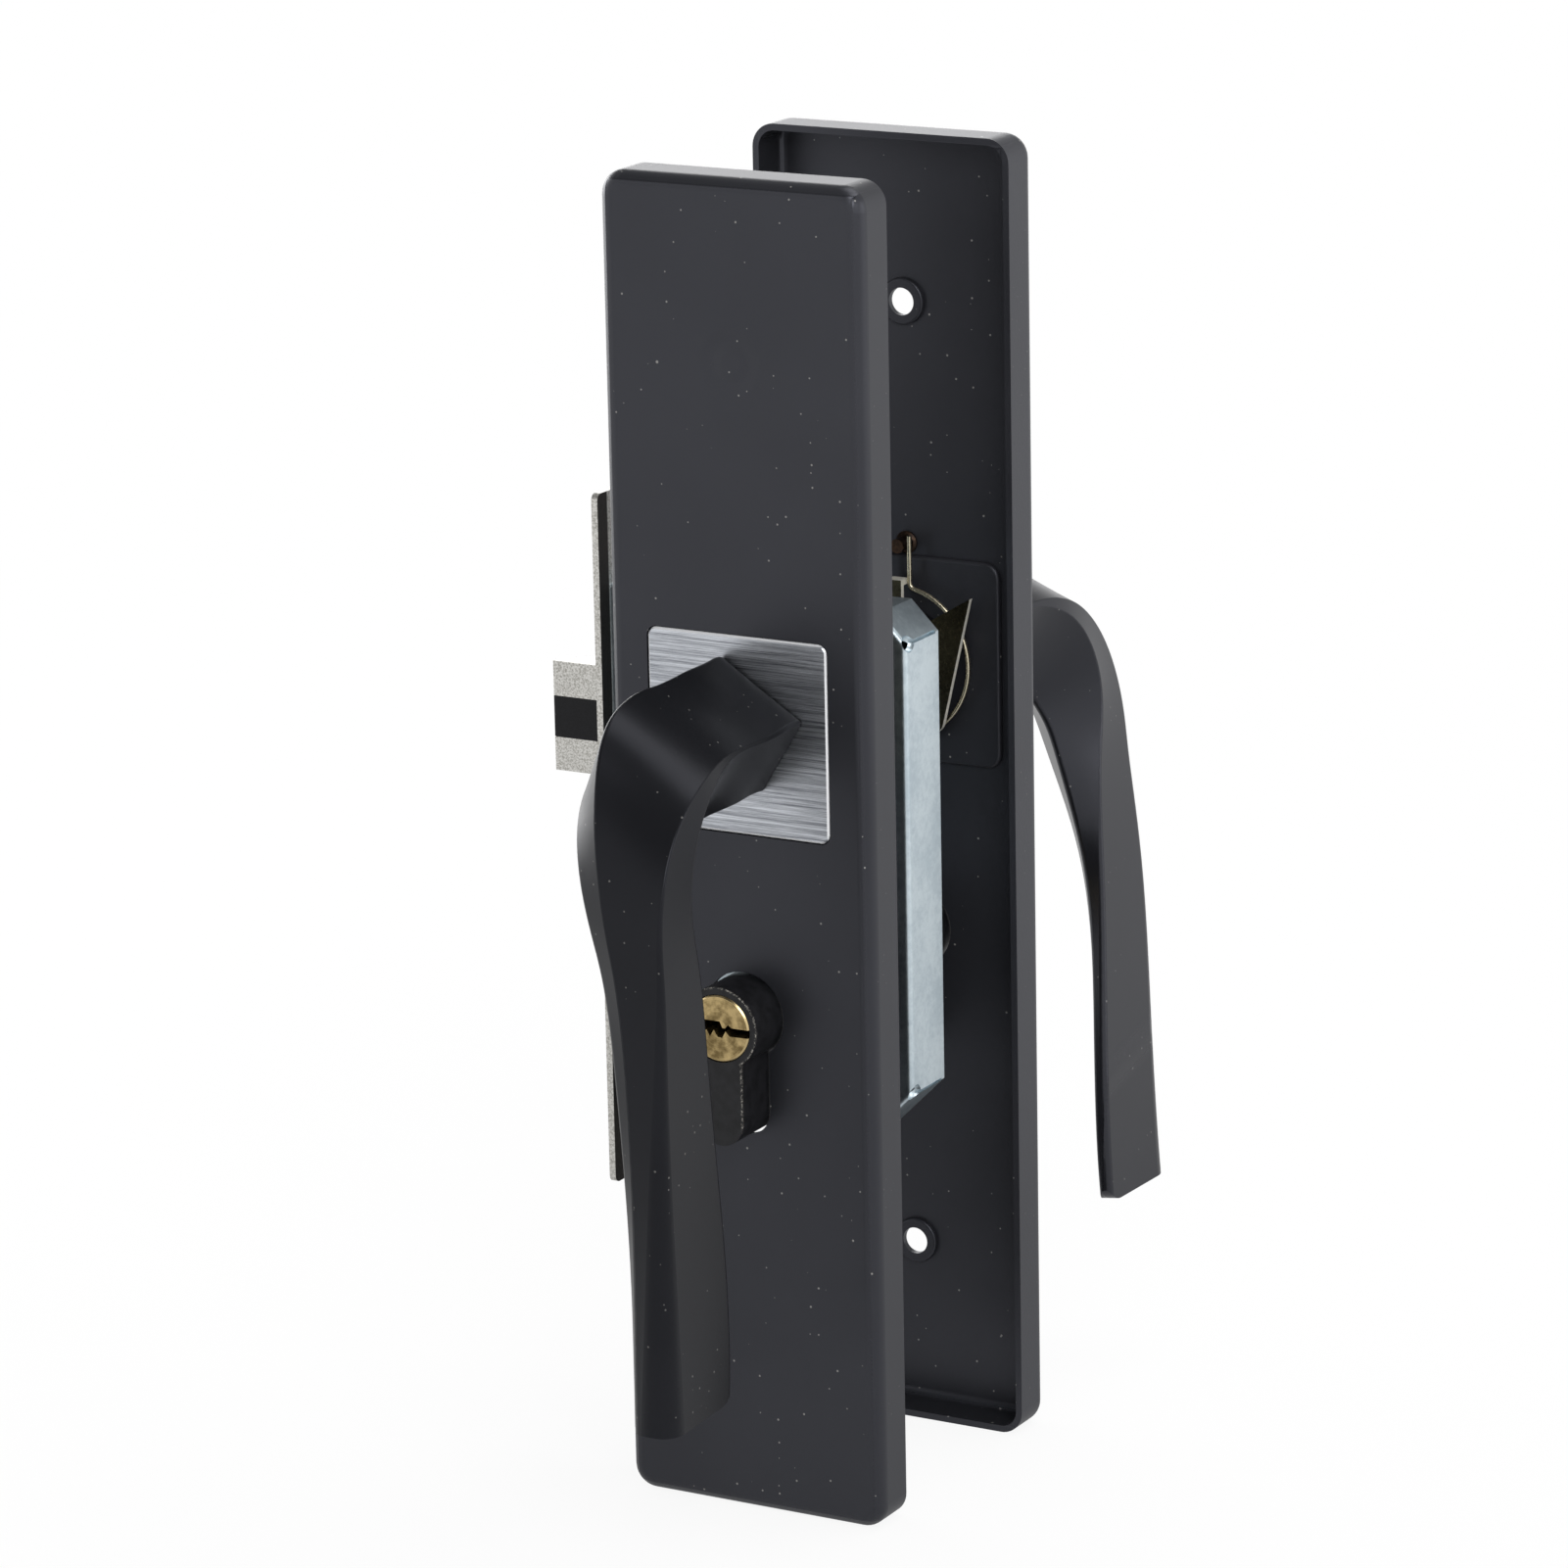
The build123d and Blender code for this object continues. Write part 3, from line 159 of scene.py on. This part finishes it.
class Wire:
    """One output of a shader node, with arithmetic that adds Math nodes."""

    def __init__(self, tree, socket=None):
        self.tree = tree
        self.socket = socket

    def node(self, kind, settings=None, inputs=None, output=0):
        """Add a node of a type with its settings, then its socket values or links."""
        made = self.tree.nodes.new(kind)
        for name, value in (settings or {}).items():
            setattr(made, name, value)
        for name, value in (inputs or {}).items():
            if isinstance(value, Wire):
                self.tree.links.new(value.socket, made.inputs[name])
            else:
                made.inputs[name].default_value = value
        return Wire(self.tree, made.outputs[output] if len(made.outputs) else None)

    def math(self, operation, first, second=0.0):
        """Math node on two values."""
        return self.node("ShaderNodeMath", {"operation": operation}, {0: first, 1: second})

    def __add__(self, other):
        return self.math("ADD", self, other)

    def __radd__(self, other):
        return self.math("ADD", other, self)

    def __sub__(self, other):
        return self.math("SUBTRACT", self, other)

    def __rsub__(self, other):
        return self.math("SUBTRACT", other, self)

    def __mul__(self, other):
        return self.math("MULTIPLY", self, other)

    def __rmul__(self, other):
        return self.math("MULTIPLY", other, self)

    def __abs__(self):
        return self.math("ABSOLUTE", self)

    def larger(self, other):
        """The larger of two values."""
        return self.math("MAXIMUM", self, other)

    def step(self, low, high):
        """0 below low, 1 above high, smooth between."""
        ends = {"Value": self, "From Min": low, "From Max": high}
        return self.node("ShaderNodeMapRange", {"interpolation_type": "SMOOTHSTEP"}, ends)

    def nears(self, edge, start, full):
        """0 until start before an edge, 1 from full before it."""
        return self.step(edge - start, edge - full)

    def mix(self, below, above):
        """Blend two colours by this mask."""
        ends = {MIX_FACTOR: self, MIX_BELOW: below, MIX_ABOVE: above}
        return self.node("ShaderNodeMix", {"data_type": "RGBA"}, ends, MIX_RESULT)


def new_finish(name):
    """Empty material and the wire that adds its nodes."""
    material = bpy.data.materials.new(name)
    material.use_nodes = True
    material.node_tree.nodes.clear()
    return material, Wire(material.node_tree)


def box_of(name):
    """Low and high corners of a solid, in millimetres."""
    return [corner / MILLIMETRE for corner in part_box(name)]


def place_on(sheet, stretch=(1, 1, 1)):
    """Object coordinates in millimetres, each times its stretch."""
    place = sheet.node("ShaderNodeTexCoord", output="Object")
    scale = [factor / MILLIMETRE for factor in stretch]
    return sheet.node("ShaderNodeMapping", None, {"Vector": place, "Scale": scale})


def axis_of(sheet, place, axis):
    """One coordinate of a place."""
    return sheet.node("ShaderNodeSeparateXYZ", None, {0: place}, axis)


def distance_to(sheet, place, point):
    """Distance from a place to a point, in millimetres."""
    ends = {0: place, 1: point}
    return sheet.node("ShaderNodeVectorMath", {"operation": "DISTANCE"}, ends, "Value")


def radius_from(sheet, axis_z):
    """Distance in millimetres from the axis that runs through the door at a height."""
    return distance_to(sheet, place_on(sheet, (1, 0, 1)), (0, 0, axis_z))


def noise(sheet, place, scale, detail=2.0, rough=0.5):
    """Noise value with a scale in features per millimetre."""
    values = {"Vector": place, "Scale": scale, "Detail": detail, "Roughness": rough}
    return sheet.node("ShaderNodeTexNoise", None, values)


def specks(sheet, place, spacing, size):
    """Mask of small round specks of many sizes, with half of the cells empty."""
    reach = size / spacing
    values = {"Vector": place, "Scale": 1 / spacing, "Randomness": 1.0}
    near = sheet.node("ShaderNodeTexVoronoi", None, values, "Distance")
    cell = sheet.node("ShaderNodeTexVoronoi", None, values, "Color")
    pick = axis_of(sheet, cell, "X").step(0.5, 1.0)
    return (pick * reach - near).step(0.0, 0.06 * reach)


def surface(sheet, values, bump, strength, distance):
    """Principled surface with a bump, its distance in millimetres, joined to the output."""
    heights = {"Height": bump, "Strength": strength, "Distance": distance * MILLIMETRE}
    normal = sheet.node("ShaderNodeBump", None, heights)
    shader = sheet.node("ShaderNodeBsdfPrincipled", None, {**values, "Normal": normal})
    sheet.node("ShaderNodeOutputMaterial", None, {"Surface": shader})


def plate_bead(sheet, place):
    """Mask of the fine bead that runs round the edges of both plates."""
    low, high = box_of("front_plate")
    middle = (low.z + high.z) / 2
    across = abs(axis_of(sheet, place, "X")) - high.x
    along = abs(axis_of(sheet, place, "Z") - middle) - (high.z - middle)
    edge = across.larger(along) + BEAD_INSET
    return edge.step(-BEAD_HALF, 0.0) - edge.step(0.0, BEAD_HALF)


def sink_mark(sheet, place):
    """Mask of the ring that the front plate's upper post leaves on its face."""
    face_y = box_of("front_plate")[0].y
    post_top = box_of("front_fixing_posts")[1]
    post_z = post_top.z - post_top.x
    mark = distance_to(sheet, place, (0, face_y, post_z))
    return mark.step(*SINK_INNER) - mark.step(*SINK_OUTER)


def black_coat(name, shade, index, shine, peel=0.35, dusty=0.6):
    """Satin black powder coat with grain and dust, and the plates' bead and sink mark."""
    material, sheet = new_finish(name)
    place = place_on(sheet)
    grain = noise(sheet, place, scale=2.6)
    cloud = noise(sheet, place, scale=0.03, detail=3.0)
    fine_dust = specks(sheet, place, spacing=2.0, size=0.24)
    dust = specks(sheet, place, spacing=8.0, size=0.42).larger(fine_dust)
    light = [shade * part for part in COAT_TINT]
    dark = [COAT_CLOUD * part for part in light]
    coat = cloud.step(*NOISE_SPAN).mix((*dark, 1), (*light, 1))
    bead = plate_bead(sheet, place)
    values = {
        "Base Color": (dust * dusty).mix(coat, DUST),
        "Roughness": shine + cloud * 0.05 + grain * 0.04 - bead * 0.15,
        "IOR": index,
        "Specular Tint": COAT_GLOSS,
    }
    height = grain * peel - sink_mark(sheet, place) * SINK_DEPTH + bead * BEAD_RISE
    surface(sheet, values, height, strength=0.10, distance=0.06)
    return material


def brushed_inlay():
    """Brushed steel with long sideways scratches and a painted highlight along its edge."""
    material, sheet = new_finish("brushed_inlay")
    hair = noise(sheet, place_on(sheet, HAIR_STRETCH), scale=7.0, detail=5.0, rough=0.8)
    band = noise(sheet, place_on(sheet, BAND_STRETCH), scale=1.2, detail=3.0, rough=0.6)
    streak = hair * 0.65 + band * 0.35
    brushed = streak.step(0.36, 0.66).mix(BRUSHED_DARK, BRUSHED_BRIGHT)
    place = place_on(sheet)
    inlay_half = box_of("front_inlay")[1].x
    side = abs(axis_of(sheet, place, "X")).larger(abs(axis_of(sheet, place, "Z")))
    # Painted highlight: the edge turns near-white and less metallic
    edge_highlight = side.nears(inlay_half, start=0.5, full=0.3)
    values = {
        "Base Color": edge_highlight.mix(brushed, INLAY_EDGE_PAINTED_HIGHLIGHT),
        "Roughness": 0.24 + streak * 0.2 - edge_highlight * 0.1,
        "Metallic": 1 - edge_highlight * 0.7,
    }
    surface(sheet, values, hair, strength=0.35, distance=0.05)
    return material


def plated(name, dark, bright, rough, grain, bump=0.1, metal=1.0):
    """Plated metal with a cloudy colour and a grain."""
    material, sheet = new_finish(name)
    place = place_on(sheet)
    cloud = noise(sheet, place, scale=0.08, detail=4.0)
    speckle = noise(sheet, place, scale=grain, detail=4.0, rough=0.7)
    shade = cloud * 0.5 + speckle * 0.5
    values = {
        "Base Color": shade.step(0.35, 0.65).mix((*dark, 1), (*bright, 1)),
        "Roughness": rough + speckle * 0.12,
        "Metallic": metal,
    }
    surface(sheet, values, speckle, strength=bump, distance=0.06)
    return material


def sandy_nickel():
    """Sand-blasted nickel, with painted shade darkening the forend's back beside the case."""
    material, sheet = new_finish("sandy_nickel")
    place = place_on(sheet)
    sand = noise(sheet, place, scale=2.4, detail=3.0, rough=0.75)
    bright = sand.step(0.34, 0.62).mix(SAND_DARK, SAND_BRIGHT)
    forend_back = box_of("forend")[1].x
    case_side = box_of("case_cover")[1].y
    back = axis_of(sheet, place, "X").nears(forend_back, start=0.12, full=0.02)
    beside = abs(axis_of(sheet, place, "Y")).step(case_side + BACK_PAINTED_SHADE_START, case_side + BACK_PAINTED_SHADE_FULL)
    # Painted shade: the forend's back beside the case turns dark
    painted_shade = back * beside
    values = {
        "Base Color": painted_shade.mix(bright, FOREND_BACK_PAINTED_SHADE),
        "Roughness": 0.30 + sand * 0.2 + painted_shade * 0.2,
        "Metallic": 1.0,
    }
    surface(sheet, values, sand, strength=0.55, distance=0.10)
    return material


def nylon():
    """Matte black nylon."""
    material, sheet = new_finish("nylon")
    grain = noise(sheet, place_on(sheet), scale=3.0, detail=3.0)
    values = {
        "Base Color": grain.step(*NOISE_SPAN).mix(NYLON_DARK, NYLON_LIGHT),
        "Roughness": 0.55 + grain * 0.1,
        "IOR": 1.33,
    }
    surface(sheet, values, grain, strength=0.15, distance=0.05)
    return material


def worn_black():
    """Black cylinder finish, worn to bright specks along the thin edges of its ends."""
    material, sheet = new_finish("worn_black")
    place = place_on(sheet)
    high = box_of("cylinder_body")[1]
    axis_z = high.z - high.x
    join_z = axis_z - (high.x ** 2 - STEM_HALF ** 2) ** 0.5
    above = axis_of(sheet, place, "Z").step(join_z - STEM_BLEND, join_z + STEM_BLEND)
    ring = radius_from(sheet, axis_z).nears(high.x, start=0.45, full=0.05) * above
    stem = abs(axis_of(sheet, place, "X")).nears(STEM_HALF, start=0.5, full=0.05) * (1 - above)
    end = abs(axis_of(sheet, place, "Y")).nears(high.y, start=0.5, full=0.1)
    chips = noise(sheet, place, scale=2.6, detail=3.0, rough=0.7).step(0.50, 0.60)
    worn = ring.larger(stem) * end * chips
    cloud = noise(sheet, place, scale=0.5, detail=3.0)
    coat = cloud.step(*NOISE_SPAN).mix(CYLINDER_DARK, CYLINDER_LIGHT)
    values = {
        "Base Color": worn.mix(coat, CYLINDER_WORN),
        "Roughness": 0.42 - worn * 0.1,
        "Metallic": worn * 0.8,
        "IOR": 1.36,
    }
    surface(sheet, values, cloud, strength=0.1, distance=0.05)
    return material


def turned_brass():
    """Satin brass with fine turning rings and a bright rim."""
    material, sheet = new_finish("turned_brass")
    low, high = box_of("front_plug")
    radius = radius_from(sheet, (low.z + high.z) / 2)
    turning = sheet.node("ShaderNodeCombineXYZ", None, {"X": radius})
    ring = noise(sheet, turning, scale=5.0, detail=3.0, rough=0.7)
    cloud = noise(sheet, place_on(sheet), scale=0.5, detail=4.0)
    shade = ring * 0.35 + cloud * 0.65
    face = shade.step(0.36, 0.64).mix(BRASS_DARK, BRASS_BRIGHT)
    rim = radius.nears(high.x, start=0.55, full=0.35)
    values = {
        "Base Color": rim.mix(face, BRASS_RIM),
        "Roughness": 0.30 + ring * 0.12 - rim * 0.1,
        "Metallic": 1.0,
    }
    surface(sheet, values, ring, strength=0.2, distance=0.04)
    return material


def slot_finishes():
    """Finish of each material slot."""
    return {
        "black_coat": black_coat("plate_coat", shade=0.0135, index=1.53, shine=0.37),
        "inlay_brushed": brushed_inlay(),
        "bush_nylon": nylon(),
        "cam_plate_gilt": plated(
            "cam_plate_gilt", dark=(0.07, 0.06, 0.04), bright=(0.15, 0.13, 0.08), rough=0.20, grain=1.5
        ),
        "spring_wire": plated(
            "spring_wire", dark=(0.50, 0.45, 0.32), bright=(0.68, 0.62, 0.46), rough=0.22, grain=2.0
        ),
        "dark_steel": plated(
            "dark_steel", dark=(0.03, 0.022, 0.018), bright=(0.10, 0.06, 0.04), rough=0.38, grain=1.5,
            bump=0.2,
        ),
        "plain_steel": plated(
            "plain_steel", dark=(0.42, 0.42, 0.41), bright=(0.58, 0.58, 0.56), rough=0.3, grain=1.5
        ),
        "case_zinc": plated(
            "case_zinc", dark=(0.48, 0.56, 0.61), bright=(0.63, 0.71, 0.75), rough=0.32, grain=0.8
        ),
        "forend_nickel": sandy_nickel(),
        "cylinder_black": worn_black(),
        "brass": turned_brass(),
    }


def painted_light_and_shade_coats():
    """Copies of the front plate's black coat, made lighter or darker to paint light and shade onto some
    solids.
    """
    return {
        # Painted light: a lighter coat on the rear plate
        "rear_plate": black_coat("rear_plate_coat_painted_light", shade=0.0190, index=1.53, shine=0.37, peel=3.0),
        # Painted shade: a darker coat with a weaker reflection on the front lever
        "front_lever": black_coat("front_lever_coat_painted_shade", shade=0.0090, index=1.28, shine=0.26, dusty=0.3),
        # Painted light and shade: a darker coat on the rear lever that reflects more than the front
        # lever's
        "rear_lever": black_coat("rear_lever_coat_painted_light_and_shade", shade=0.0090, index=1.50, shine=0.28, dusty=0.3),
    }


def dress_solids():
    """Give every solid its finish."""
    by_slot = slot_finishes()
    by_node = painted_light_and_shade_coats()
    for part in frame["record"]["subparts"]:
        mesh = nodes[part["node"]].data
        mesh.materials.clear()
        mesh.materials.append(by_node.get(part["node"], by_slot[part["material_slot"]]))


def paint_cam_edge_highlights():
    """Paint bright highlights on the cam plates' stamped edges round their gilt faces."""
    # Painted highlight: near-white, mostly non-metal colour on the cam plates' edge faces
    cam_edge_painted_highlight = plated(
        "cam_edge_painted_highlight", dark=(0.70, 0.67, 0.58), bright=(0.90, 0.88, 0.80), rough=0.28, grain=2.0, metal=0.2
    )
    for name in ("front_cam_plate", "rear_cam_plate"):
        mesh = nodes[name].data
        mesh.materials.append(cam_edge_painted_highlight)
        for face in mesh.polygons:
            face.material_index = int(abs(face.normal.y) < 0.5)


def stand_in(name, body):
    """Copy of a solid, its doubled points merged, that is shown in its place and rides on a body."""
    bpy.ops.object.select_all(action="DESELECT")
    nodes[name].select_set(True)
    bpy.context.view_layer.objects.active = nodes[name]
    bpy.ops.object.duplicate()
    piece = bpy.context.object
    piece.name = name + "_form"
    bpy.ops.object.mode_set(mode="EDIT")
    bpy.ops.mesh.select_all(action="SELECT")
    bpy.ops.mesh.remove_doubles(threshold=SAME_POINT, use_sharp_edge_from_normals=True)
    bpy.ops.object.mode_set(mode="OBJECT")
    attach(piece, body)
    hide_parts(name)
    return piece


def eased(share):
    """Share from 0 to 1 that starts and ends softly."""
    return share * share * (3 - 2 * share)


def straight_ridge(name, out):
    """Lever whose ridge runs straight from neck to shoulder, raised where the casting dips."""
    piece = stand_in(name, "lever_set")
    near = [vertex.co for vertex in piece.data.vertices if abs(vertex.co.y - out) < RIDGE_REACH]
    crest = max(near, key=lambda place: place.z).copy()
    group = piece.vertex_groups.new(name="dip")
    for vertex in piece.data.vertices:
        share = max(0.0, 1 - (vertex.co - crest).length / RIDGE_FADE)
        group.add([vertex.index], eased(share), "REPLACE")
    bpy.ops.object.modifier_add(type="DISPLACE")
    rise = piece.modifiers[-1]
    rise.direction = "Z"
    rise.mid_level = 0.0
    rise.strength = RIDGE_RISE
    rise.vertex_group = group.name
    bpy.ops.object.modifier_apply(modifier=rise.name)


def coiled_spring():
    """Latch spring shown as a merged copy with a mesh of its own; the share it would keep as the latch
    slides in is worked out but not applied.
    """
    low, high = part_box("latch_spring")
    joints = {joint["name"]: joint for joint in frame["record"]["behaviour"]["joints"]}
    travel = joints["latch_slide"]["range_m"][1]
    keep = 1 - travel / (high.x - low.x)
    piece = stand_in("latch_spring", "lockset")
    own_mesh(piece)


def add_camera():
    """Camera at the photograph's place and turn."""
    right = CAMERA_RIGHT.normalized()
    back = right.cross(-CAMERA_DOWN).normalized()
    up = back.cross(right)
    turn = Matrix((right, up, back)).transposed().to_4x4()
    bpy.ops.object.camera_add()
    camera = bpy.context.object
    camera.matrix_world = Matrix.Translation(CAMERA_PLACE) @ turn
    camera.data.lens = CAMERA_LENS
    camera.data.sensor_width = CAMERA_SENSOR
    bpy.context.scene.camera = camera


def ray(sheet, kind):
    """1 for the rays of a kind."""
    return sheet.node("ShaderNodeLightPath", output=f"Is {kind} Ray")


def add_floor():
    """Pale floor that looks white and keeps the object's shadow, with painted shade near the object in
    what polished faces mirror.
    """
    floor_z = cad_box[0][2]
    bpy.ops.object.select_all(action="DESELECT")
    bpy.ops.mesh.primitive_plane_add(size=FLOOR_SIDE, location=(0, 0, floor_z))
    floor = bpy.context.object
    floor.name = "floor"
    bpy.ops.object.transform_apply(location=True, rotation=True, scale=True)
    material, sheet = new_finish("floor_white")
    mirrored = ray(sheet, "Glossy")
    shown = ray(sheet, "Camera").larger(mirrored).larger(ray(sheet, "Transmission"))
    near = 1 - distance_to(sheet, place_on(sheet), (0, 0, floor_z / MILLIMETRE)).step(*FLOOR_FADE)
    # Painted shade: in reflections the floor glows darker near the object
    level = (mirrored * near).mix(WHITE, FLOOR_PAINTED_SHADE)
    white = sheet.node("ShaderNodeEmission", None, {"Color": level})
    paint = sheet.node("ShaderNodeBsdfDiffuse", None, {"Color": FLOOR_PAINT})
    share = shown * (1 - near * FLOOR_SHADOW)
    both = sheet.node("ShaderNodeMixShader", None, {0: share, 1: paint, 2: white})
    sheet.node("ShaderNodeOutputMaterial", None, {"Surface": both})
    floor.data.materials.append(material)


def add_surroundings():
    """White surroundings, with a darker ceiling for the faces that mirror them."""
    world = bpy.data.worlds.new("studio")
    bpy.context.scene.world = world
    world.use_nodes = True
    world.node_tree.nodes.clear()
    sky = Wire(world.node_tree)
    direction = sky.node("ShaderNodeTexCoord", output="Generated")
    ceiling = axis_of(sky, direction, "Z").step(*CEILING_RISE)
    shown = ray(sky, "Camera").larger(ray(sky, "Transmission"))
    mirrored = ray(sky, "Glossy")
    to_white = 1 - ROOM_LEVEL
    strength = ROOM_LEVEL + shown * to_white + mirrored * (to_white - ceiling * CEILING_DROP)
    glow = sky.node("ShaderNodeBackground", None, {"Color": WHITE, "Strength": strength})
    sky.node("ShaderNodeOutputWorld", None, {"Surface": glow})


def add_lights():
    """Soft area lights that point at the lock."""
    for name, (place, side, power) in LIGHTS.items():
        bpy.ops.object.light_add(type="AREA", location=place)
        lamp = bpy.context.object
        lamp.name = name
        lamp.data.shape = "SQUARE"
        lamp.data.size = side
        lamp.data.energy = power
        lamp.rotation_euler = (LIGHT_AIM - Vector(place)).to_track_quat("-Z", "Y").to_euler()


dress_solids()
paint_cam_edge_highlights()
straight_ridge("front_lever", -RIDGE_OUT)
straight_ridge("rear_lever", RIDGE_OUT)
coiled_spring()

add_camera()
add_floor()
add_surroundings()
add_lights()
bpy.context.scene.view_settings.view_transform = "Standard"
